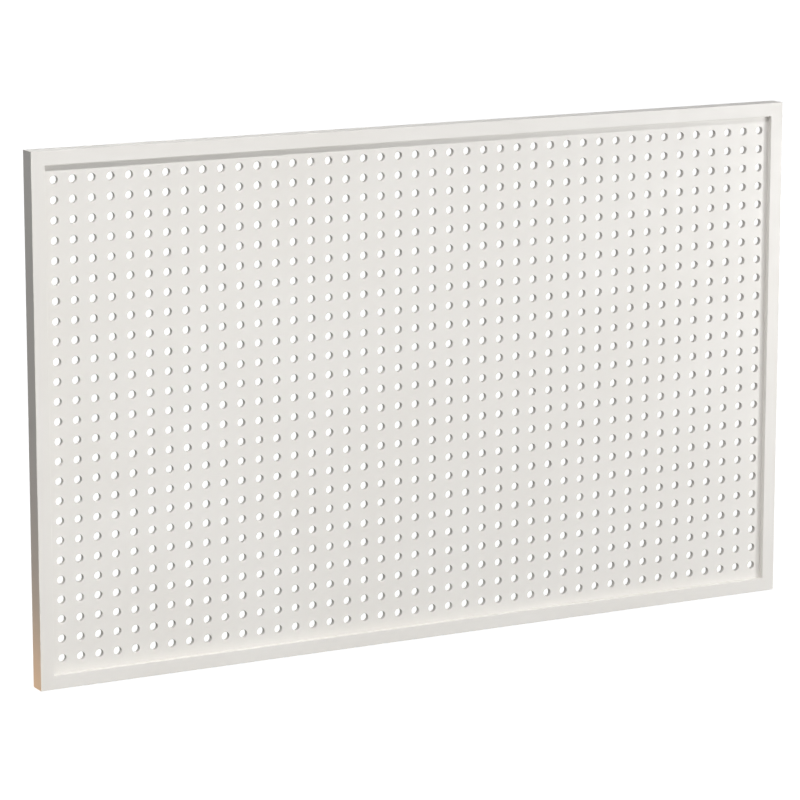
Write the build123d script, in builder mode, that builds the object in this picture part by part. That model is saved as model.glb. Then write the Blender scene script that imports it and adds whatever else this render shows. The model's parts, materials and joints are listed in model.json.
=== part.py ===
"""Framed pegboard tool wall: a perforated panel held in the grooves of a mitred frame.

The frame is four painted wooden rails with a groove that holds the panel behind the front face.
Each mitre has a dowel, and a flat steel bracket let into the back. Four keyhole plates in the
back of the stiles hang the board on wall screws, and four pads keep it off the wall.

Origin: centre of the back face of the frame. +X right, +Z up, and the front faces -Y.
"""
import os

from build123d import *

# ---- Driving dimensions, millimetres -----------------------------------------------------------

# Peg holes
pitch = 25.0
hole_columns = 42
hole_rows = 25
peg_hole_diameter = 10.5

# Panel
panel_thickness = 6.4
side_margin = 14.5             # outermost hole centres to the frame's opening, left and right
end_margin = 19.0              # outermost hole centres to the frame's opening, top and bottom
expansion_gap = 1.0            # free space in the groove at the panel's top and side edges

# Frame rails
rail_face = 18.0               # width of the face seen from the front
frame_depth = 25.0
recess = 7.0                   # panel's front face behind the frame's front
groove_depth = 8.0
groove_clearance = 0.1         # on each side of the panel's thickness
front_edge_radius = 0.5
back_edge_radius = 0.8

# Dowels across the mitres
dowel_diameter = 5.0
dowel_length = 14.0
dowel_chamfer = 0.5
dowel_end_gap = 0.5            # glue space at each end of the bore

# Countersunk wood screws for the brackets and the keyhole plates
screw_diameter = 3.0
screw_length = 10.0
screw_tip_length = 2.5
screw_head_diameter = 6.0
screw_recess_width = 0.9
screw_recess_depth = 1.0

# Flat corner brackets
bracket_width = 14.0
bracket_leg = 58.0
bracket_thickness = 2.0
bracket_corner_radius = 3.0
bracket_screw_near = 24.0      # bracket's outer corner to the nearer screw on each leg
bracket_screw_far = 50.0       # and to the farther one

# Keyhole plates
plate_length = 50.0
plate_width = 14.0
plate_thickness = 2.0
plate_corner_radius = 3.0
plate_screw_spacing = 38.0
keyhole_spacing = 450.0        # height between the upper and the lower entry holes
keyhole_entry_diameter = 9.0
keyhole_slot_width = 5.0
keyhole_travel = 11.0          # entry hole's centre to the centre of the slot's round end
pocket_width = 11.0            # room behind the plate for the head of the wall screw
pocket_depth = 6.0

# Wall pads
pad_diameter = 12.0
pad_thickness = 2.0
pad_chamfer = 0.4
pad_inset = 90.0               # pad's centre to the end of the rail

# Fits
metal_seat_gap = 0.2           # plates and brackets lie this far below the frame's back face
metal_side_gap = 0.3           # round each of them in its recess
press_gap = 0.05               # radial, round the dowels and screws in the wood
countersink_gap = 0.1          # radial, round the screws in the metal

# ---- Sizes that follow -------------------------------------------------------------------------

opening_width = (hole_columns - 1) * pitch + 2 * side_margin
opening_height = (hole_rows - 1) * pitch + 2 * end_margin
frame_width = opening_width + 2 * rail_face
frame_height = opening_height + 2 * rail_face
half_width = frame_width / 2
half_height = frame_height / 2
rail_middle = rail_face / 2

# Depths are measured forwards from the back face.
panel_back_depth = frame_depth - recess - panel_thickness
groove_back_depth = panel_back_depth - groove_clearance
dowel_depth = groove_back_depth / 2

screw_head_radius = screw_head_diameter / 2
screw_radius = screw_diameter / 2
pilot_radius = screw_radius + press_gap
clearance_radius = screw_radius + countersink_gap
countersink_radius = screw_head_radius + countersink_gap
pilot_depth = metal_seat_gap + screw_length
bracket_inset = rail_middle - bracket_width / 2

# The back plane looks out of the frame's back: its X runs with the frame's, its Y runs down.
back = -Plane.XZ
bracket_screw_points = [
    (bracket_screw_near, bracket_width / 2),
    (bracket_screw_far, bracket_width / 2),
    (bracket_width / 2, bracket_screw_near),
    (bracket_width / 2, bracket_screw_far),
]
plate_screw_points = [(0, -plate_screw_spacing / 2), (0, plate_screw_spacing / 2)]

# Each corner of the frame on the back plane, and the turn that points a bracket's legs inwards.
corners = {
    "top_left": (-1, -1, 0),
    "top_right": (1, -1, 90),
    "bottom_right": (1, 1, 180),
    "bottom_left": (-1, 1, 270),
}


def save(part, name):
    """Label a finished piece and write it as one STEP file."""
    part.label = name
    export_step(part, f"parts/{name}.step")


def corner_location(side, end, turn):
    """Outer corner of a bracket as it lies on the back plane."""
    x = side * (half_width - bracket_inset)
    y = end * (half_height - bracket_inset)
    return Location((x, y), turn)


def plate_location(side, end):
    """Centre of a keyhole plate on the back plane, half the keyhole's travel above its entry hole."""
    return Location((side * (half_width - rail_middle), (end * keyhole_spacing - keyhole_travel) / 2))


# ---- Outlines shared by the metal pieces and their seats in the wood ---------------------------

def bracket_outline(grow=0.0):
    """Flat L with its outer corner at the origin and its legs along +X and +Y."""
    long_side = bracket_leg + 2 * grow
    short_side = bracket_width + 2 * grow
    with BuildSketch() as outline:
        with Locations((-grow, -grow)):
            Rectangle(long_side, short_side, align=(Align.MIN, Align.MIN))
            Rectangle(short_side, long_side, align=(Align.MIN, Align.MIN))
        fillet(outline.vertices(), bracket_corner_radius)
    return outline.sketch


def plate_outline(grow=0.0):
    """Upright rectangle with rounded corners, centred on the origin."""
    with BuildSketch() as outline:
        RectangleRounded(plate_width + 2 * grow, plate_length + 2 * grow, plate_corner_radius + grow)
    return outline.sketch


# ---- Frame rails -------------------------------------------------------------------------------

def mitred_rail(length, plate_centres=()):
    """Grooved rail along X with its outer face on Z = 0, its back on Y = 0 and mitred ends.

    plate_centres gives the places along X of the keyhole plates that it carries.
    """
    with BuildPart() as rail:
        with BuildSketch(Plane.YZ) as section:
            Rectangle(frame_depth, rail_face, align=(Align.MAX, Align.MAX))
            fillet(section.vertices().group_by(Axis.X)[0], front_edge_radius)
            fillet(section.vertices().group_by(Axis.X)[-1], back_edge_radius)
            with Locations((-groove_back_depth, -rail_face)):
                Rectangle(
                    panel_thickness + 2 * groove_clearance,
                    groove_depth,
                    align=(Align.MAX, Align.MIN),
                    mode=Mode.SUBTRACT,
                )
        extrude(amount=length / 2, both=True)

        for side, turn in ((-1, 0), (1, 90)):
            mitre = Plane((side * length / 2, 0, 0), z_dir=(side, 0, -1))
            split(bisect_by=mitre, keep=Keep.BOTTOM)

            # Half of the dowel's bore, square to the mitre.
            bore_mouth = (side * (length / 2 - rail_middle), -dowel_depth, -rail_middle)
            with BuildSketch(Plane(bore_mouth, z_dir=(side, 0, -1))):
                Circle(dowel_diameter / 2 + press_gap)
            extrude(amount=-dowel_length / 2 - dowel_end_gap, mode=Mode.SUBTRACT)

            # Seat of the corner bracket and the pilot holes of its screws.
            corner = Location((side * (length / 2 - bracket_inset), bracket_inset), turn)
            with BuildSketch(back):
                add(bracket_outline(metal_side_gap).moved(corner))
            extrude(amount=-bracket_thickness - metal_seat_gap, mode=Mode.SUBTRACT)
            with BuildSketch(back):
                with Locations([corner * Location(point) for point in bracket_screw_points]):
                    Circle(pilot_radius)
            extrude(amount=-pilot_depth, mode=Mode.SUBTRACT)

        for centre in plate_centres:
            # Seat of a keyhole plate, lying along the rail, with the pocket for the screw's head.
            lying = Location((centre, rail_middle), 90)
            with BuildSketch(back):
                add(plate_outline(metal_side_gap).moved(lying))
            extrude(amount=-plate_thickness - metal_seat_gap, mode=Mode.SUBTRACT)
            with BuildSketch(back):
                with Locations((centre, rail_middle)):
                    SlotCenterToCenter(keyhole_travel, pocket_width)
            extrude(amount=-plate_thickness - metal_seat_gap - pocket_depth, mode=Mode.SUBTRACT)
            with BuildSketch(back):
                with Locations([lying * Location(point) for point in plate_screw_points]):
                    Circle(pilot_radius)
            extrude(amount=-pilot_depth, mode=Mode.SUBTRACT)
    return rail.part


# The left stile's rail X runs up and the right stile's runs down.
plate_heights = [(keyhole_travel + way * keyhole_spacing) / 2 for way in (-1, 1)]
left_stile = mitred_rail(frame_height, plate_heights)
right_stile = mitred_rail(frame_height, [-height for height in plate_heights])

os.makedirs("parts", exist_ok=True)
save(Pos(0, 0, half_height) * mitred_rail(frame_width), "top_rail")
save(Pos(0, 0, -half_height) * Rot(0, 180, 0) * mitred_rail(frame_width), "bottom_rail")
save(Pos(-half_width, 0, 0) * Rot(0, -90, 0) * left_stile, "left_stile")
save(Pos(half_width, 0, 0) * Rot(0, 90, 0) * right_stile, "right_stile")


# ---- Perforated panel --------------------------------------------------------------------------
# It stands on the floor of the bottom groove, with the expansion gap at its top and sides.

panel_width = opening_width + 2 * (groove_depth - expansion_gap)
panel_height = opening_height + 2 * groove_depth - expansion_gap
panel_bottom = -opening_height / 2 - groove_depth

with BuildPart() as perforated_panel:
    with BuildSketch(Plane.XZ.offset(panel_back_depth)):
        with Locations((0, panel_bottom)):
            Rectangle(panel_width, panel_height, align=(Align.CENTER, Align.MIN))
        with GridLocations(pitch, pitch, hole_columns, hole_rows):
            Circle(peg_hole_diameter / 2, mode=Mode.SUBTRACT)
    extrude(amount=panel_thickness)
save(perforated_panel.part, "perforated_panel")


# ---- Dowels ------------------------------------------------------------------------------------
# One crosses each mitre at its middle, behind the groove.

with BuildPart() as mitre_dowels:
    for side, end, turn in corners.values():
        middle = (side * (half_width - rail_middle), -dowel_depth, -end * (half_height - rail_middle))
        with BuildSketch(Plane(middle, z_dir=(side, 0, end))):
            Circle(dowel_diameter / 2)
        extrude(amount=dowel_length / 2, both=True)
    chamfer(mitre_dowels.edges().filter_by(GeomType.CIRCLE), dowel_chamfer)
save(mitre_dowels.part, "mitre_dowels")


# ---- Corner brackets ---------------------------------------------------------------------------

with BuildPart() as bracket:
    with BuildSketch():
        add(bracket_outline())
    extrude(amount=-bracket_thickness)
    with Locations(bracket_screw_points):
        CounterSinkHole(clearance_radius, countersink_radius, counter_sink_angle=90)

for name, corner in corners.items():
    place = back.location * Pos(0, 0, -metal_seat_gap) * corner_location(*corner)
    save(place * bracket.part, f"corner_bracket_{name}")


# ---- Keyhole plates ----------------------------------------------------------------------------
# The round entry hole is at the low end and the slot rises from it. Y runs down here.

with BuildPart() as keyhole_plate:
    with BuildSketch():
        add(plate_outline())
        with Locations((0, keyhole_travel / 2)):
            Circle(keyhole_entry_diameter / 2, mode=Mode.SUBTRACT)
        SlotCenterToCenter(keyhole_travel, keyhole_slot_width, rotation=90, mode=Mode.SUBTRACT)
    extrude(amount=-plate_thickness)
    with Locations(plate_screw_points):
        CounterSinkHole(clearance_radius, countersink_radius, counter_sink_angle=90)

for name, (side, end, turn) in corners.items():
    place = back.location * Pos(0, 0, -metal_seat_gap) * plate_location(side, end)
    save(place * keyhole_plate.part, f"keyhole_plate_{name}")


# ---- Screws ------------------------------------------------------------------------------------

with BuildPart() as screw:
    with BuildSketch(Plane.XZ):
        with BuildLine():
            Polyline(
                (0, 0),
                (screw_head_radius, 0),
                (screw_radius, screw_radius - screw_head_radius),
                (screw_radius, screw_tip_length - screw_length),
                (0, -screw_length),
                close=True,
            )
        make_face()
    revolve(axis=Axis.Z)
    with BuildSketch():
        Rectangle(screw_diameter, screw_recess_width)
        Rectangle(screw_recess_width, screw_diameter)
    extrude(amount=-screw_recess_depth, mode=Mode.SUBTRACT)


def screw_group(places, points):
    """Screws at the given points of each place on the back plane, their heads flush with the metal."""
    seat = back.location * Pos(0, 0, -metal_seat_gap)
    with BuildPart() as group:
        for place in places:
            for point in points:
                add(seat * place * Location(point) * screw.part)
    return group.part


bracket_places = [corner_location(*corner) for corner in corners.values()]
plate_places = [plate_location(side, end) for side, end, turn in corners.values()]
save(screw_group(bracket_places, bracket_screw_points), "bracket_screws")
save(screw_group(plate_places, plate_screw_points), "plate_screws")


# ---- Wall pads ---------------------------------------------------------------------------------

with BuildPart() as wall_pads:
    with BuildSketch(back):
        with GridLocations(frame_width - 2 * pad_inset, frame_height - rail_face, 2, 2):
            Circle(pad_diameter / 2)
    extrude(amount=pad_thickness)
    chamfer(wall_pads.edges().filter_by(GeomType.CIRCLE).group_by(Axis.Y)[-1], pad_chamfer)
save(wall_pads.part, "wall_pads")
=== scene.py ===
"""A pegboard tool wall: a drilled board, sprayed white, held in a grooved and mitred wooden frame.

It hangs on four wall screws by keyhole plates let into its back. All sizes are in metres.
+X is right and +Z is up. The front faces -Y, and the back of the frame lies on Y = 0.
"""
import json
from math import radians

import bmesh
import bpy
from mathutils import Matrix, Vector


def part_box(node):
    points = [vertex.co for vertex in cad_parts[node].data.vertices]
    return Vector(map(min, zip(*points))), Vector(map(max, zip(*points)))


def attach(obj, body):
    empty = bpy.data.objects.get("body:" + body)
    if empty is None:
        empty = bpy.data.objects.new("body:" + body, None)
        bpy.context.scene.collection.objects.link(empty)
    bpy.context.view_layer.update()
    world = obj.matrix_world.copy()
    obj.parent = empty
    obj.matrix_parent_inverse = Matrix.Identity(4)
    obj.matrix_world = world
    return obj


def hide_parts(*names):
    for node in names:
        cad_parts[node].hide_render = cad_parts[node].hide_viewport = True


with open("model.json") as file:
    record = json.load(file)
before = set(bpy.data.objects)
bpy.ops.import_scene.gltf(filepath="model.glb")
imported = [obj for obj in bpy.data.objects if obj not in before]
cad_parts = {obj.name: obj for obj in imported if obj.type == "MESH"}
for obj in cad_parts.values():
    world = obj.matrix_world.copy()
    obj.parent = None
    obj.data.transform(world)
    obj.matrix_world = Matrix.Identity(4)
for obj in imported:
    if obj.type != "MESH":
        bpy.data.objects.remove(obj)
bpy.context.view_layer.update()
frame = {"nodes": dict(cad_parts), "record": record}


# ---- Perforated board --------------------------------------------------------------------------
# A sheet of hardboard, drilled on a square grid and then sprayed on its faces, edges and hole
# walls. It stands in the rails' grooves without glue, with room to swell at its top and sides.

mounts = {mount["name"]: mount for mount in frame["record"]["mounts"]}
board_low, board_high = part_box("perforated_panel")
peg_grid = mounts["peg_grid_corners"]["dims"]
hole_radius = peg_grid["hole_r_mm"] / 1000
hole_pitch = mounts["peg_pitch_cell"]["dims"]["spacing_x_mm"] / 1000
grid_width = peg_grid["spacing_x_mm"] / 1000
grid_height = peg_grid["spacing_y_mm"] / 1000
hole_columns = round(grid_width / hole_pitch) + 1
hole_rows = round(grid_height / hole_pitch) + 1
hole_sides = 20
hole_rim = 0.00035              # the paint rounds the drilled edge this much
near = 1e-5                     # two places closer than this count as one
smooth_angle = 35               # degrees; an edge that turns less than this is shaded as round


def begin(name):
    """Names the primitive just added, puts its place in its mesh and opens it in edit mode."""
    piece = bpy.context.object
    piece.name = piece.data.name = name
    bpy.ops.object.transform_apply(location=True, rotation=True, scale=True)
    bpy.ops.object.mode_set(mode="EDIT")
    return piece


def pick(piece, kind, test):
    """Selects, in edit mode, only the verts, edges or faces whose middle and item pass the test."""
    bpy.ops.mesh.select_mode(type={"verts": "VERT", "edges": "EDGE", "faces": "FACE"}[kind])
    bpy.ops.mesh.select_all(action="DESELECT")
    shape = bmesh.from_edit_mesh(piece.data)
    for item in getattr(shape, kind):
        corners = [item] if kind == "verts" else item.verts
        middle = sum((corner.co for corner in corners), Vector()) / len(corners)
        if test(middle, item):
            item.select_set(True)
    shape.select_flush_mode()
    bmesh.update_edit_mesh(piece.data)


def push(move=(0, 0, 0), widen=None, about=None):
    """Extrudes what is selected along a move, then scales its new end about a point."""
    bpy.ops.mesh.extrude_region_move(TRANSFORM_OT_translate={"value": move})
    if widen:
        bpy.ops.transform.resize(value=widen, center_override=about)


def smooth(piece):
    """Smooths the shading of round stretches, and keeps the broad faces beside them flat."""
    bpy.ops.object.shade_smooth_by_angle(angle=radians(smooth_angle))
    weigh = piece.modifiers.new("weigh", "WEIGHTED_NORMAL")
    weigh.keep_sharp = True
    bpy.ops.object.modifier_apply(modifier=weigh.name)


def close_up(piece):
    """Turns all faces outwards, leaves edit mode and smooths the shading."""
    bpy.ops.mesh.select_all(action="SELECT")
    bpy.ops.mesh.normals_make_consistent(inside=False)
    bpy.ops.object.mode_set(mode="OBJECT")
    smooth(piece)
    return piece


# One cell of the grid comes first: the hole's wall, its rim, and the faces round it cut square.
first_hole = Vector((-grid_width / 2, board_low.y, -grid_height / 2))
bpy.ops.object.select_all(action="DESELECT")
bpy.ops.mesh.primitive_circle_add(
    vertices=hole_sides,
    radius=hole_radius,
    location=first_hole + Vector((0, hole_rim, 0)),
    rotation=(radians(90), 0, 0),
)
board = begin("drilled_board")
rim_scale = (hole_radius + hole_rim) / hole_radius
cell_scale = 2 * hole_pitch / hole_radius
push((0, -hole_rim, 0), (rim_scale, 1, rim_scale), first_hole)
push((0, 0, 0), (cell_scale, 1, cell_scale), first_hole)
pick(board, "verts", lambda middle, vert: middle.y > board_low.y + hole_rim / 2)
push((0, board_high.y - board_low.y - hole_rim, 0))
push((0, 0, 0), (cell_scale, 1, cell_scale), first_hole)
for way in (Vector((1, 0, 0)), Vector((-1, 0, 0)), Vector((0, 0, 1)), Vector((0, 0, -1))):
    bpy.ops.mesh.select_all(action="SELECT")
    cell_side = first_hole + way * hole_pitch / 2
    bpy.ops.mesh.bisect(plane_co=cell_side, plane_no=way, clear_outer=True)
bpy.ops.object.mode_set(mode="OBJECT")

for count, step in ((hole_columns, (hole_pitch, 0, 0)), (hole_rows, (0, 0, hole_pitch))):
    repeat = board.modifiers.new("repeat", "ARRAY")
    repeat.count = count
    repeat.use_relative_offset = False
    repeat.use_constant_offset = True
    repeat.constant_offset_displace = step
    repeat.use_merge_vertices = True
    repeat.merge_threshold = near
    bpy.ops.object.modifier_apply(modifier=repeat.name)

# The outermost cells are drawn out to the sheet's edges, and its two faces joined there.
bpy.ops.object.mode_set(mode="EDIT")
cells_x = (grid_width + hole_pitch) / 2
cells_z = (grid_height + hole_pitch) / 2
board_edges = (
    (lambda middle, vert: middle.x > cells_x - near, (board_high.x - cells_x, 0, 0)),
    (lambda middle, vert: middle.x < near - cells_x, (board_low.x + cells_x, 0, 0)),
    (lambda middle, vert: middle.z > cells_z - near, (0, 0, board_high.z - cells_z)),
    (lambda middle, vert: middle.z < near - cells_z, (0, 0, board_low.z + cells_z)),
)
for on_edge, move in board_edges:
    pick(board, "verts", on_edge)
    bpy.ops.transform.translate(value=move)
pick(board, "edges", lambda middle, edge: edge.is_boundary)
bpy.ops.mesh.bridge_edge_loops()
close_up(board)

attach(board, "root")
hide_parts("perforated_panel")


def surface(name, **constants):
    """A new material, with its node tree and its shader's inputs, some of them set by name."""
    finish = bpy.data.materials.new(name)
    finish.use_nodes = True
    tree = finish.node_tree
    shader = tree.nodes["Principled BSDF"].inputs
    for socket, value in constants.items():
        shader[socket.replace("_", " ")].default_value = value
    return finish, tree, shader


def add_node(tree, kind, **settings):
    """A node of one kind, with its own settings and its inputs' values set by name."""
    node = tree.nodes.new(kind)
    for setting, value in settings.items():
        if hasattr(node, setting):
            setattr(node, setting, value)
        else:
            node.inputs[setting.replace("_", " ")].default_value = value
    return node


def noise(tree, scale, detail=2.0, stretch=(1, 1, 1)):
    """Noise of so many bumps per metre, drawn out where stretch is below one."""
    place = add_node(tree, "ShaderNodeTexCoord")
    drawn = add_node(tree, "ShaderNodeMapping", Scale=stretch)
    speckle = add_node(tree, "ShaderNodeTexNoise", Scale=scale, Detail=detail)
    tree.links.new(place.outputs["Object"], drawn.inputs["Vector"])
    tree.links.new(drawn.outputs["Vector"], speckle.inputs["Vector"])
    return speckle.outputs["Fac"]


def ramp(tree, value, start, end, low=0, high=1, course="LINEAR"):
    """A value mapped from start and end onto low and high, and held there beyond them."""
    mapped = add_node(tree, "ShaderNodeMapRange", interpolation_type=course)
    for socket, number in (("From Min", start), ("From Max", end), ("To Min", low), ("To Max", high)):
        mapped.inputs[socket].default_value = number
    tree.links.new(value, mapped.inputs["Value"])
    return mapped.outputs["Result"]


def spread_over(tree, value, low, high):
    """Noise mapped from its usual range onto low to high."""
    return ramp(tree, value, 0.35, 0.65, low, high)


# A Mix node keeps its sockets for colours under these numbers.
mix_first = 6
mix_second = 7
mix_result = 2


def two_tones(tree, value, first, second):
    """A colour that wanders between two tones as the value does."""
    blend = add_node(tree, "ShaderNodeMix", data_type="RGBA")
    tree.links.new(spread_over(tree, value, 0, 1), blend.inputs["Factor"])
    blend.inputs[mix_first].default_value = (*first, 1)
    blend.inputs[mix_second].default_value = (*second, 1)
    return blend.outputs[mix_result]


def relief(tree, layers):
    """Stacked bumps, each a (height, depth in metres, strength) layer, the broadest first."""
    normal = None
    for height, depth, strength in layers:
        bump = add_node(tree, "ShaderNodeBump", Strength=strength, Distance=depth)
        tree.links.new(height, bump.inputs["Height"])
        if normal:
            tree.links.new(normal, bump.inputs["Normal"])
        normal = bump.outputs["Normal"]
    return normal


# Satin lacquer, warm white. The spray leaves a fine orange peel, and its sheen is a little uneven.
lacquer_tone = (0.815, 0.795, 0.760)
lacquer_tone_thin = (0.795, 0.772, 0.733)
lacquer_roughness = (0.40, 0.52)
tone_drifts = 5                 # per metre, from one tone to the other
sheen_patches = 45              # per metre
peel_bumps = 650                # per metre
peel_depth = 0.00003


def lacquer(name, base_waves, wave_depth):
    """The sprayed finish on a base whose faint waves show through, its node tree and its shader."""
    paint, tree, shader = surface(name, Specular_IOR_Level=0.5)
    cloud = noise(tree, tone_drifts, 3)
    patches = noise(tree, sheen_patches, 3)
    links = tree.links
    links.new(two_tones(tree, cloud, lacquer_tone, lacquer_tone_thin), shader["Base Color"])
    links.new(spread_over(tree, patches, *lacquer_roughness), shader["Roughness"])
    peel = noise(tree, peel_bumps, 2)
    layers = [(noise(tree, *base_waves), wave_depth, 0.35), (peel, peel_depth, 0.30)]
    links.new(relief(tree, layers), shader["Normal"])
    return paint, tree, shader


sheet_waves = (30, 2)           # how many per metre, and their detail
sheet_wave_depth = 0.00025
board_paint, tree, shader = lacquer("board_lacquer", sheet_waves, sheet_wave_depth)
board.data.materials.append(board_paint)

# Painted shade: the hole walls get a greyer colour than the faces, which stands in for the shade that
# falls inside the holes.
hole_wall_shade_tone = (0.605, 0.585, 0.56)
hole_shade_fade = 0.0008             # how far in from each face the painted shade in the holes fades in
half_board = (board_high.y - board_low.y) / 2
place = add_node(tree, "ShaderNodeTexCoord")
axes = add_node(tree, "ShaderNodeSeparateXYZ")
from_middle = add_node(tree, "ShaderNodeMath", operation="SUBTRACT")
from_middle.inputs[1].default_value = (board_low.y + board_high.y) / 2
depth_away = add_node(tree, "ShaderNodeMath", operation="ABSOLUTE")
within = depth_away.outputs["Value"]
shade_in = ramp(tree, within, half_board, half_board - hole_shade_fade, course="SMOOTHSTEP")
# Painted shade: this mix turns the faces' colour into the greyer hole wall tone deeper in the holes.
inside = add_node(tree, "ShaderNodeMix", data_type="RGBA")
inside.inputs[mix_second].default_value = (*hole_wall_shade_tone, 1)
tree.links.new(place.outputs["Object"], axes.inputs["Vector"])
tree.links.new(axes.outputs["Y"], from_middle.inputs[0])
tree.links.new(from_middle.outputs["Value"], depth_away.inputs[0])
tree.links.new(shade_in, inside.inputs["Factor"])
tree.links.new(shader["Base Color"].links[0].from_socket, inside.inputs[mix_first])
tree.links.new(inside.outputs[mix_result], shader["Base Color"])


# ---- Frame rails -------------------------------------------------------------------------------
# Four lengths of planed timber, grooved on the inside to hold the board and mitred at the ends,
# with seats let into their backs for the steel pieces. They are glued up, then sprayed as one.

groove_room = 0.0001            # on each side of the board
groove_depth = 0.008
front_round = 0.0005
back_round = 0.0008
mitre_ease = 0.00006            # a hairline shows where two mitred ends meet
saw_spare = 0.002
seat_room = 0.0003              # round each steel piece in its seat
bracket_width = 0.014
bracket_round = 0.003
plate_round = 0.003
pilot_radius = 0.00155
screw_length = 0.010
screw_near = 0.024              # bracket's outer corner to the nearer screw on each leg
screw_far = 0.050
plate_screw_reach = 0.019       # keyhole plate's middle to each of its two screws
slot_travel = 0.011             # keyhole's entry to the round end of its slot
pocket_width = 0.011
pocket_depth = 0.0082
dowel_radius = 0.00255
dowel_bore_length = 0.015
grain_waves = 260               # per metre across the grain
grain_wave_depth = 0.00006
grain_draw = 0.02               # along the grain, the waves are this many times as close

frame_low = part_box("left_stile")[0]
frame_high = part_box("right_stile")[1]
rail_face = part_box("left_stile")[1].x - frame_low.x
corner_names = ("top_left", "top_right", "bottom_left", "bottom_right")


def inwards(node):
    """The ways from a node to the frame's middle: (+1 or -1 along X, +1 or -1 along Z)."""
    low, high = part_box(node)
    return (1 if low.x < 0 else -1), (1 if low.z < 0 else -1)


def outer_corner(node):
    """The corner of a node's outer face that points away from the frame's middle."""
    low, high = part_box(node)
    across, up = inwards(node)
    return Vector((low.x if across > 0 else high.x, high.y, low.z if up > 0 else high.z))


def flat_l(name, node, spread, outside, inside):
    """A flat L with round corners on a corner bracket's place, grown all round by spread."""
    low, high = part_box(node)
    across, up = inwards(node)
    width = bracket_width + 2 * spread
    growth = high.x - low.x + 2 * spread - width
    middle = outer_corner(node) + Vector((across, 0, up)) * bracket_width / 2
    middle.y = outside
    bpy.ops.object.select_all(action="DESELECT")
    bpy.ops.mesh.primitive_plane_add(size=width, location=middle, rotation=(radians(90), 0, 0))
    piece = begin(name)
    for leg in (Vector((across, 0, 0)), Vector((0, 0, up))):
        leg_root = middle + leg * width / 2
        pick(piece, "edges", lambda place, edge: (place - leg_root).length < near)
        push(leg * growth)
    bpy.ops.mesh.select_all(action="SELECT")
    bpy.ops.mesh.dissolve_limited(angle_limit=radians(1))
    bpy.ops.mesh.select_all(action="SELECT")
    bpy.ops.mesh.bevel(offset=bracket_round, segments=6, affect="VERTICES")
    bpy.ops.mesh.select_all(action="SELECT")
    push((0, inside - outside, 0))
    return piece


def flat_plate(name, node, spread, outside, inside):
    """A flat rectangle with round corners on a keyhole plate's place, grown by spread."""
    low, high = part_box(node)
    middle, size = (low + high) / 2, high - low
    middle.y = outside
    bpy.ops.object.select_all(action="DESELECT")
    bpy.ops.mesh.primitive_plane_add(size=1, location=middle, rotation=(radians(90), 0, 0))
    bpy.context.object.scale = (size.x + 2 * spread, size.z + 2 * spread, 1)
    piece = begin(name)
    bpy.ops.mesh.bevel(offset=plate_round + spread, segments=6, affect="VERTICES")
    bpy.ops.mesh.select_all(action="SELECT")
    push((0, inside - outside, 0))
    return piece


def bore(radius, start, along, sides=16):
    """A round cutter from a start point along a vector."""
    bpy.ops.object.select_all(action="DESELECT")
    bpy.ops.mesh.primitive_cylinder_add(
        vertices=sides,
        radius=radius,
        depth=along.length,
        location=start + along / 2,
        rotation=along.to_track_quat("Z", "Y").to_euler(),
    )
    cutter = begin("bore")
    bpy.ops.object.mode_set(mode="OBJECT")
    return cutter


def slot_cutter(radius, start, along, travel):
    """A round cutter drawn out upwards by the keyhole's travel."""
    cutter = bore(radius, start, along, sides=32)
    bpy.ops.object.mode_set(mode="EDIT")
    pick(cutter, "verts", lambda place, vert: place.z > start.z + near)
    bpy.ops.transform.translate(value=(0, 0, travel))
    bpy.ops.object.mode_set(mode="OBJECT")
    return cutter


def cut(piece, cutters):
    """Takes the cutters' shapes out of a piece, and merges the slivers that crossing cuts leave."""
    bpy.ops.object.select_all(action="DESELECT")
    piece.select_set(True)
    bpy.context.view_layer.objects.active = piece
    for cutter in cutters:
        removal = piece.modifiers.new("cut", "BOOLEAN")
        removal.operation = "DIFFERENCE"
        removal.solver = "EXACT"
        removal.object = cutter
        bpy.ops.object.modifier_apply(modifier=removal.name)
    bpy.ops.object.mode_set(mode="EDIT")
    bpy.ops.mesh.select_all(action="SELECT")
    bpy.ops.mesh.remove_doubles(threshold=2 * near)
    bpy.ops.object.mode_set(mode="OBJECT")
    smooth(piece)


def put_away(cutters):
    """Deletes cutters that are done with."""
    for cutter in cutters:
        bpy.data.objects.remove(cutter)


def bracket_screw_places(node):
    """Where a corner bracket's four screws stand, on its outer face."""
    across, up = inwards(node)
    half = bracket_width / 2
    reaches = ((screw_near, half), (screw_far, half), (half, screw_near), (half, screw_far))
    return [outer_corner(node) + Vector((across * x, 0, up * z)) for x, z in reaches]


def plate_middle(node):
    """The middle of a keyhole plate's outer face."""
    low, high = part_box(node)
    return Vector(((low.x + high.x) / 2, high.y, (low.z + high.z) / 2))


def plate_screw_places(node):
    """Where a keyhole plate's two screws stand, on its outer face."""
    return [plate_middle(node) + Vector((0, 0, way * plate_screw_reach)) for way in (-1, 1)]


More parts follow.
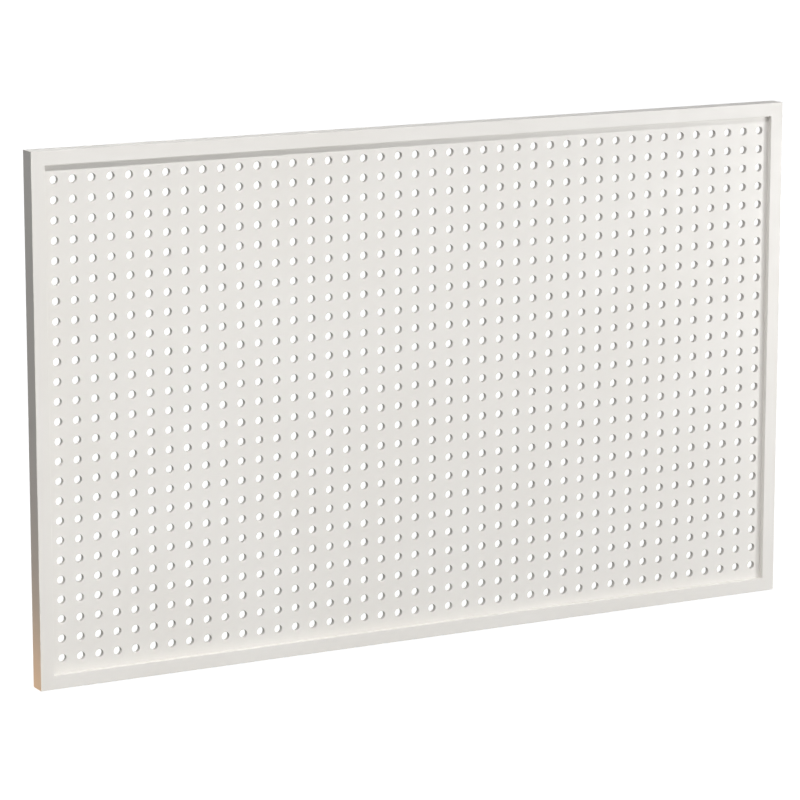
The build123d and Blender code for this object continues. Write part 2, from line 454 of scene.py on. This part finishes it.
def grooved_rail(name, node):
    """A planed rail in its node's place: grooved, mitred, and with its long edges rounded."""
    low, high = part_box(node)
    middle, size = (low + high) / 2, high - low
    along = Vector((1, 0, 0)) if size.x > size.z else Vector((0, 0, 1))
    out = Vector((1, 0, 1)) - along
    out = out if middle.dot(out) > 0 else -out
    bpy.ops.object.select_all(action="DESELECT")
    bpy.ops.mesh.primitive_cube_add(size=1, location=middle, scale=size + along * 2 * saw_spare)
    rail = begin(name)

    # The groove is pressed in from the inner face, between two cuts.
    groove_front = board_low.y - groove_room
    groove_back = board_high.y + groove_room
    for depth in (groove_front, groove_back):
        bpy.ops.mesh.select_all(action="SELECT")
        bpy.ops.mesh.bisect(plane_co=(0, depth, 0), plane_no=(0, 1, 0))
    pick(rail, "faces", lambda place, face: face.normal.dot(out) < -0.9
         and groove_front < place.y < groove_back)
    push(out * groove_depth)

    # Each mitre starts at an outer corner of the frame.
    for way in (-1, 1):
        tip = middle + along * way * size.dot(along) / 2 + out * rail_face / 2
        bpy.ops.mesh.select_all(action="SELECT")
        bpy.ops.mesh.bisect(
            plane_co=tip, plane_no=along * way - out, use_fill=True, clear_outer=True
        )

    # The long edges are rounded, and the outline of each mitred end is eased.
    for depth, radius, segments in ((low.y, front_round, 5), (high.y, back_round, 3)):
        pick(rail, "edges", lambda place, edge: abs(place.y - depth) < near
             and abs((edge.verts[1].co - edge.verts[0].co).normalized().dot(along)) > 0.99)
        bpy.ops.mesh.bevel(offset=radius, segments=segments, affect="EDGES", clamp_overlap=False)
    pick(rail, "faces", lambda place, face: abs(face.normal.dot(along)) > 0.6
         and abs(face.normal.dot(out)) > 0.6 and face.calc_area() > rail_face * rail_face / 4)
    bpy.ops.mesh.region_to_loop()
    bpy.ops.mesh.bevel(offset=mitre_ease, segments=1, affect="EDGES", clamp_overlap=False)
    return close_up(rail)


rails = {
    node: grooved_rail(f"sprayed_{node}", node)
    for node in ("top_rail", "bottom_rail", "left_stile", "right_stile")
}
above = frame_high.y + saw_spare        # cutters start clear of the frame's back

for corner in corner_names:
    bracket, plate = f"corner_bracket_{corner}", f"keyhole_plate_{corner}"
    across, up = inwards(bracket)
    stile = rails["left_stile" if across > 0 else "right_stile"]
    rail = rails["bottom_rail" if up > 0 else "top_rail"]

    # The bracket's seat, its pilot holes and the dowel's bore run through both mitred ends.
    seat = close_up(flat_l("seat", bracket, seat_room, above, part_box(bracket)[0].y))
    pilots = [
        bore(pilot_radius, place, Vector((0, -screw_length, 0)))
        for place in bracket_screw_places(bracket)
    ]
    dowel_low, dowel_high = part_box("mitre_dowels")
    dowel_middle = Vector((
        -across * (frame_high.x - rail_face / 2),
        (dowel_low.y + dowel_high.y) / 2,
        -up * (frame_high.z - rail_face / 2),
    ))
    dowel_along = Vector((across, 0, -up)).normalized() * dowel_bore_length
    dowel_bore = bore(dowel_radius, dowel_middle - dowel_along / 2, dowel_along)
    for piece in (stile, rail):
        cut(piece, [seat, dowel_bore, *pilots])
    put_away([seat, dowel_bore, *pilots])

    # The keyhole plate's seat, with the pocket where the wall screw's head slides up.
    seat = close_up(flat_plate("seat", plate, seat_room, above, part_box(plate)[0].y))
    entry = plate_middle(plate) - Vector((0, 0, slot_travel / 2))
    pocket = slot_cutter(pocket_width / 2, entry, Vector((0, -pocket_depth, 0)), slot_travel)
    pilots = [
        bore(pilot_radius, place, Vector((0, -screw_length, 0)))
        for place in plate_screw_places(plate)
    ]
    cut(stile, [seat, pocket, *pilots])
    put_away([seat, pocket, *pilots])

for node, rail in rails.items():
    grain = (grain_draw, 1, 1) if "rail" in node else (1, 1, grain_draw)
    rail_paint = lacquer(f"{node}_lacquer", (grain_waves, 2, grain), grain_wave_depth)[0]
    rail.data.materials.append(rail_paint)
    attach(rail, "root")
    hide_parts(node)


# ---- Dowels ------------------------------------------------------------------------------------
# A fluted beech dowel crosses each mitre, glued in and out of sight.

beech, tree, shader = surface("bare_beech", Roughness=0.7)
beech_tone = (0.66, 0.48, 0.31)
beech_tone_dark = (0.55, 0.37, 0.22)
rays = noise(tree, 900, 3)
tree.links.new(two_tones(tree, rays, beech_tone, beech_tone_dark), shader["Base Color"])
tree.links.new(relief(tree, [(rays, 0.0001, 0.4)]), shader["Normal"])
frame["nodes"]["mitre_dowels"].material_slots[0].material = beech


# ---- Corner brackets ---------------------------------------------------------------------------
# Flat L-shaped pieces of 2 mm steel, stamped, countersunk for their screws and zinc plated.
# One is let into the back of each corner and keeps the mitre closed.

stamped_edge = 0.0003           # the press rounds the outline this much
countersink_radius = 0.0031
screw_hole_radius = 0.0016
bracket_low, bracket_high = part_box("corner_bracket_top_left")
plate_thickness = bracket_high.y - bracket_low.y        # the keyhole plates' too
steel_tones = ((0.38, 0.395, 0.42), (0.48, 0.48, 0.47))
steel_roughness = (0.36, 0.50)
rolling_draw = 0.03             # along the sheet, its lines are this many times as close


def zinc_plate(name, tones, roughness, rolled):
    """Electroplated zinc on steel: a cloudy grey sheen over the fine lines of the rolled sheet."""
    zinc, tree, shader = surface(name, Metallic=1.0)
    links = tree.links
    cloud = noise(tree, 120, 4)
    lines = noise(tree, 2500, 2, rolled)
    links.new(two_tones(tree, cloud, *tones), shader["Base Color"])
    links.new(spread_over(tree, cloud, *roughness), shader["Roughness"])
    links.new(relief(tree, [(lines, 0.00002, 0.5)]), shader["Normal"])
    return zinc


def ease_outline():
    """Rounds the outline edges of the flat piece in edit mode, front and back."""
    piece = bpy.context.object
    pick(piece, "edges", lambda place, edge: abs(edge.verts[0].co.y - edge.verts[1].co.y) < near)
    bpy.ops.mesh.bevel(offset=stamped_edge, segments=2, affect="EDGES", clamp_overlap=False)


def countersink(place):
    """A cutter for one countersunk screw hole: a cone that narrows to a round bore."""
    bpy.ops.object.select_all(action="DESELECT")
    proud = 0.0002
    bpy.ops.mesh.primitive_circle_add(
        vertices=32,
        radius=countersink_radius + proud,
        fill_type="NGON",
        location=place + Vector((0, proud, 0)),
        rotation=(radians(90), 0, 0),
    )
    cutter = begin("countersink")
    narrow = screw_hole_radius / (countersink_radius + proud)
    cone_depth = countersink_radius + proud - screw_hole_radius
    push((0, -cone_depth, 0), (narrow, 1, narrow), place)
    push((0, -plate_thickness, 0))
    return close_up(cutter)


bracket_zinc = zinc_plate("bracket_plating", steel_tones, steel_roughness, (rolling_draw, 1, 1))
for corner in corner_names:
    node = f"corner_bracket_{corner}"
    low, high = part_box(node)
    bracket = flat_l(f"zinc_{node}", node, 0, high.y, low.y)
    ease_outline()
    close_up(bracket)
    holes = [countersink(place) for place in bracket_screw_places(node)]
    cut(bracket, holes)
    put_away(holes)
    bracket.data.materials.append(bracket_zinc)
    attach(bracket, "root")
    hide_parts(node)


# ---- Keyhole plates ----------------------------------------------------------------------------
# Upright 2 mm steel plates in the backs of the stiles. A wall screw's head goes in at the round
# entry and the board drops, so that the screw's shank stands at the top of the slot.

entry_radius = mounts["keyhole_entries"]["dims"]["hole_r_mm"] / 1000
slot_radius = 0.0025

plate_zinc = zinc_plate("plate_plating", steel_tones, steel_roughness, (1, 1, rolling_draw))
for corner in corner_names:
    node = f"keyhole_plate_{corner}"
    low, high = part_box(node)
    plate = flat_plate(f"zinc_{node}", node, 0, high.y, low.y)
    ease_outline()
    close_up(plate)
    entry = plate_middle(node) + Vector((0, plate_thickness, -slot_travel / 2))
    through = Vector((0, -3 * plate_thickness, 0))
    holes = [
        bore(entry_radius, entry, through, sides=48),
        slot_cutter(slot_radius, entry, through, slot_travel),
        *[countersink(place) for place in plate_screw_places(node)],
    ]
    cut(plate, holes)
    put_away(holes)
    plate.data.materials.append(plate_zinc)
    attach(plate, "root")
    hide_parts(node)


# ---- Screws ------------------------------------------------------------------------------------
# Countersunk wood screws, 3 mm across and 10 mm long, with a cross recess. Four hold each corner
# bracket and two each keyhole plate, all driven in flush.

head_radius = 0.0030
head_rim = 0.0002
shank_radius = 0.0015
tip_length = 0.0025
cross_width = 0.0009
cross_reach = 0.0015
cross_depth = 0.0010
cross_taper = 0.55              # the recess's floor against its mouth
point_width = 0.05              # the screw's point against its shank
screw_tones = ((0.42, 0.43, 0.445), (0.50, 0.50, 0.49))
screw_roughness = (0.30, 0.42)
turn_step = 137.5               # no two neighbours stop at the same turn

screw_zinc = zinc_plate("screw_plating", screw_tones, screw_roughness, (1, 1, 1))


def cross_cutter(top):
    """A cross that narrows downwards, as a screwdriver's point does."""
    bpy.ops.object.select_all(action="DESELECT")
    height = cross_depth + head_rim
    middle = top + Vector((0, (head_rim - cross_depth) / 2, 0))
    bpy.ops.mesh.primitive_cube_add(
        size=1, location=middle, scale=(cross_width, height, cross_width)
    )
    cutter = begin("cross")
    for way in (Vector((1, 0, 0)), Vector((-1, 0, 0)), Vector((0, 0, 1)), Vector((0, 0, -1))):
        arm_root = middle + way * cross_width / 2
        pick(cutter, "faces", lambda place, face: (place - arm_root).length < near)
        push(way * (cross_reach - cross_width / 2))
    pick(cutter, "verts", lambda place, vert: place.y < middle.y)
    bpy.ops.transform.resize(value=(cross_taper, 1, cross_taper), center_override=middle)
    return close_up(cutter)


def wood_screw(name):
    """One screw at the frame's origin, its head's face at the depth of the steel pieces' backs."""
    top = Vector((0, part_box("bracket_screws")[1].y, 0))
    bpy.ops.object.select_all(action="DESELECT")
    bpy.ops.mesh.primitive_circle_add(
        vertices=32,
        radius=head_radius - head_rim,
        fill_type="NGON",
        location=top,
        rotation=(radians(90), 0, 0),
    )
    screw = begin(name)
    outer = head_radius / (head_radius - head_rim)
    shank = shank_radius / head_radius
    push((0, -head_rim, 0), (outer, 1, outer), top)
    push((0, shank_radius - head_radius, 0), (shank, 1, shank), top)
    push((0, head_radius - shank_radius + head_rim + tip_length - screw_length, 0))
    push((0, -tip_length, 0), (point_width, 1, point_width), top)
    close_up(screw)
    cross = cross_cutter(top)
    cut(screw, [cross])
    put_away([cross])
    screw.data.materials.append(screw_zinc)
    return screw


screw_sets = (
    ("bracket_screw", "bracket_screws", "corner_bracket_", bracket_screw_places),
    ("plate_screw", "plate_screws", "keyhole_plate_", plate_screw_places),
)
pattern_screw = wood_screw("pattern_screw")
for name, node, holder, places_on in screw_sets:
    places = [place for corner in corner_names for place in places_on(holder + corner)]
    for number, place in enumerate(places, start=1):
        bpy.ops.object.select_all(action="DESELECT")
        pattern_screw.select_set(True)
        bpy.context.view_layer.objects.active = pattern_screw
        bpy.ops.object.duplicate()
        screw = bpy.context.object
        screw.name = screw.data.name = f"{name}_{number:02d}"
        screw.rotation_euler.y = radians(turn_step * number)
        screw.location = (place.x, 0, place.z)
        bpy.ops.object.transform_apply(location=True, rotation=True, scale=True)
        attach(screw, "root")
        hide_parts(node)
put_away([pattern_screw])


# ---- Wall pads ---------------------------------------------------------------------------------
# Black rubber discs, glued on near the corners, that keep the frame 2 mm off the wall.

pad_radius = 0.006
pad_edge = 0.0004
pad_reach = 0.455
pad_dish = 0.0003
pad_tone = (0.045, 0.045, 0.047)
pad_tone_dusty = (0.065, 0.065, 0.066)

rubber, tree, shader = surface("black_rubber", Specular_IOR_Level=0.35)
links = tree.links
bloom = noise(tree, 400, 4)
links.new(two_tones(tree, bloom, pad_tone, pad_tone_dusty), shader["Base Color"])
links.new(spread_over(tree, bloom, 0.70, 0.85), shader["Roughness"])
links.new(relief(tree, [(noise(tree, 3000, 2), 0.00003, 0.5)]), shader["Normal"])

pads_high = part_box("wall_pads")[1]
rail_middle_z = frame_high.z - rail_face / 2
for corner in corner_names:
    across, up = inwards(f"corner_bracket_{corner}")
    middle = Vector((-across * pad_reach, 0, -up * rail_middle_z))
    pad = bore(pad_radius, middle, Vector((0, pads_high.y, 0)), sides=64)
    pad.name = pad.data.name = f"rubber_pad_{corner}"
    bpy.ops.object.mode_set(mode="EDIT")
    pick(pad, "edges", lambda place, edge: place.y > pads_high.y - near
         and abs(edge.verts[0].co.y - edge.verts[1].co.y) < near)
    bpy.ops.mesh.bevel(offset=pad_edge, segments=3, affect="EDGES", clamp_overlap=False)
    pick(pad, "faces", lambda place, face: place.y > pads_high.y - near and len(face.verts) > 8)
    bpy.ops.mesh.inset(thickness=pad_radius / 4)
    bpy.ops.transform.translate(value=(0, -pad_dish, 0))
    close_up(pad)
    pad.data.materials.append(rubber)
    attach(pad, "root")
    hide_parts("wall_pads")


# ---- Floor, light and camera -------------------------------------------------------------------
# A pale floor well below the board, soft lamps, and the camera to the left of the front.

floor_level = -1.3
shadow_reach = 1.0              # from the middle of the floor, where the board's shadow may fall
white_reach = 2.2               # past this the floor is nearly as white as the backdrop
floor_tone = (0.45, 0.45, 0.445)
middle_glow = 0.45              # the floor's own light as the camera sees it, at its middle
far_glow = 0.97
backdrop_light = 0.12           # what the backdrop, seen as 1, gives to the object
camera_place = (-2.2514, -4.1267, 0.9105)
camera_dip = 11.24              # degrees below level
camera_turn = 28.34             # degrees to the right of straight ahead

bpy.ops.object.select_all(action="DESELECT")
bpy.ops.mesh.primitive_plane_add(size=40, location=(0, 0, floor_level))
floor = bpy.context.object
floor.name = "studio_floor"

floor_paint, tree, shader = surface("studio_floor_white", Roughness=0.9)
shader["Base Color"].default_value = (*floor_tone, 1)
shader["Emission Color"].default_value = (1, 1, 1, 1)
place = add_node(tree, "ShaderNodeTexCoord")
away = add_node(tree, "ShaderNodeVectorMath", operation="LENGTH")
distance = away.outputs["Value"]
whiten = ramp(tree, distance, shadow_reach, white_reach, middle_glow, far_glow, "SMOOTHSTEP")
seen = add_node(tree, "ShaderNodeLightPath")
glow = add_node(tree, "ShaderNodeMath", operation="MULTIPLY")
tree.links.new(place.outputs["Object"], away.inputs[0])
tree.links.new(whiten, glow.inputs[0])
tree.links.new(seen.outputs["Is Camera Ray"], glow.inputs[1])
tree.links.new(glow.outputs["Value"], shader["Emission Strength"])
floor.data.materials.append(floor_paint)

world = bpy.data.worlds.new("studio")
bpy.context.scene.world = world
world.use_nodes = True
tree = world.node_tree
backdrop = tree.nodes["Background"]
seen = add_node(tree, "ShaderNodeLightPath")
white = seen.outputs["Is Camera Ray"]
for ray in ("Is Glossy Ray", "Is Transmission Ray"):
    either = add_node(tree, "ShaderNodeMath", operation="MAXIMUM")
    tree.links.new(white, either.inputs[0])
    tree.links.new(seen.outputs[ray], either.inputs[1])
    white = either.outputs["Value"]
tree.links.new(ramp(tree, white, 0, 1, backdrop_light, 1), backdrop.inputs["Strength"])
backdrop.inputs["Color"].default_value = (1, 1, 1, 1)


def softbox(name, place, aim, width, height, watts, spread=180, tint=(1, 1, 1)):
    """A rectangular lamp at a place, turned to shine at a point, over spread degrees."""
    lamp = bpy.data.lights.new(name, "AREA")
    lamp.shape = "RECTANGLE"
    lamp.size, lamp.size_y = width, height
    lamp.energy = watts
    lamp.spread = radians(spread)
    lamp.color = tint
    holder = bpy.data.objects.new(name, lamp)
    bpy.context.scene.collection.objects.link(holder)
    holder.location = place
    holder.rotation_euler = (Vector(aim) - Vector(place)).to_track_quat("-Z", "Y").to_euler()
    holder.visible_camera = False


# Small lamps high on the left throw the top rail's shadow on the board.
softbox("key", (-2.25, -2.0, 2.6), (-0.4, 0, -0.1), 0.25, 0.25, 27)
softbox("key_near", (-1.2, -2.0, 2.6), (-0.4, 0, -0.1), 0.25, 0.25, 10)
softbox("key_cone", (-0.5, -2.0, 2.6), (-0.5, 0, -0.3), 0.25, 0.25, 3.1, spread=46)

# Broad ones light the top, the lower left and, from both depths, the right.
softbox("overhead", (0, -0.45, 3.2), (0, 0, 0), 1.5, 0.5, 11)
softbox("low_left", (-1.2, -2.4, -0.7), (-0.3, 0, -0.3), 0.8, 0.6, 12.5)
softbox("right", (1.45, -2.0, 0), (0.3, 0, 0), 0.4, 1.0, 10.5)
softbox("right_near", (1.4, -0.9, 0.2), (0.3, 0, 0), 0.3, 0.8, 8.4)

# A small warm one stands low beside the left stile, and the broadest lights the back.
softbox("warm_corner", (-0.665, 0, -0.37), (-0.545, -0.012, -0.3), 0.1, 0.1, 0.09, tint=(1, 0.5, 0.12))
softbox("back", (1.2, 2.6, -0.45), (0, 0, 0), 3.4, 1.4, 48)

camera = bpy.data.objects.new("camera", bpy.data.cameras.new("camera"))
bpy.context.scene.collection.objects.link(camera)
camera.location = camera_place
camera.rotation_euler = (radians(90 - camera_dip), 0, radians(-camera_turn))
camera.data.lens = 166
camera.data.sensor_width = 36
bpy.context.scene.camera = camera
bpy.context.scene.view_settings.view_transform = "Standard"
